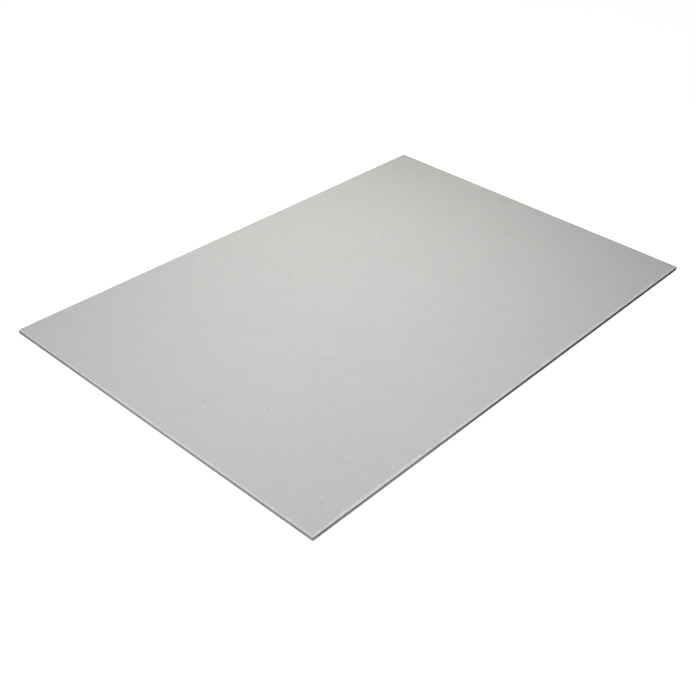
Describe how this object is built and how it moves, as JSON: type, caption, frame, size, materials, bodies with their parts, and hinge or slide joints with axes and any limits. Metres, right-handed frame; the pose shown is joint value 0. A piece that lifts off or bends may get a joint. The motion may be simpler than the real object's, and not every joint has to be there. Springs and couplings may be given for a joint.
{
  "type": "drywall sheet",
  "caption": "Flat rectangular drywall sheet, half as long again as it is wide, with a plain pale matte face, square sawn edges and square corners.",
  "frame": {"origin": "middle of the back side, the side that the sheet lies on", "axes": "+X along the sheet's length, +Y along its width, +Z out of its face side, which is up as the sheet lies"},
  "size_m": [1.5, 1, 0.01],
  "materials": {
    "gypsum_board": "matte"
  },
  "bodies": {
    "root": {"drywall_sheet": "gypsum_board"}
  },
  "joints": []
}
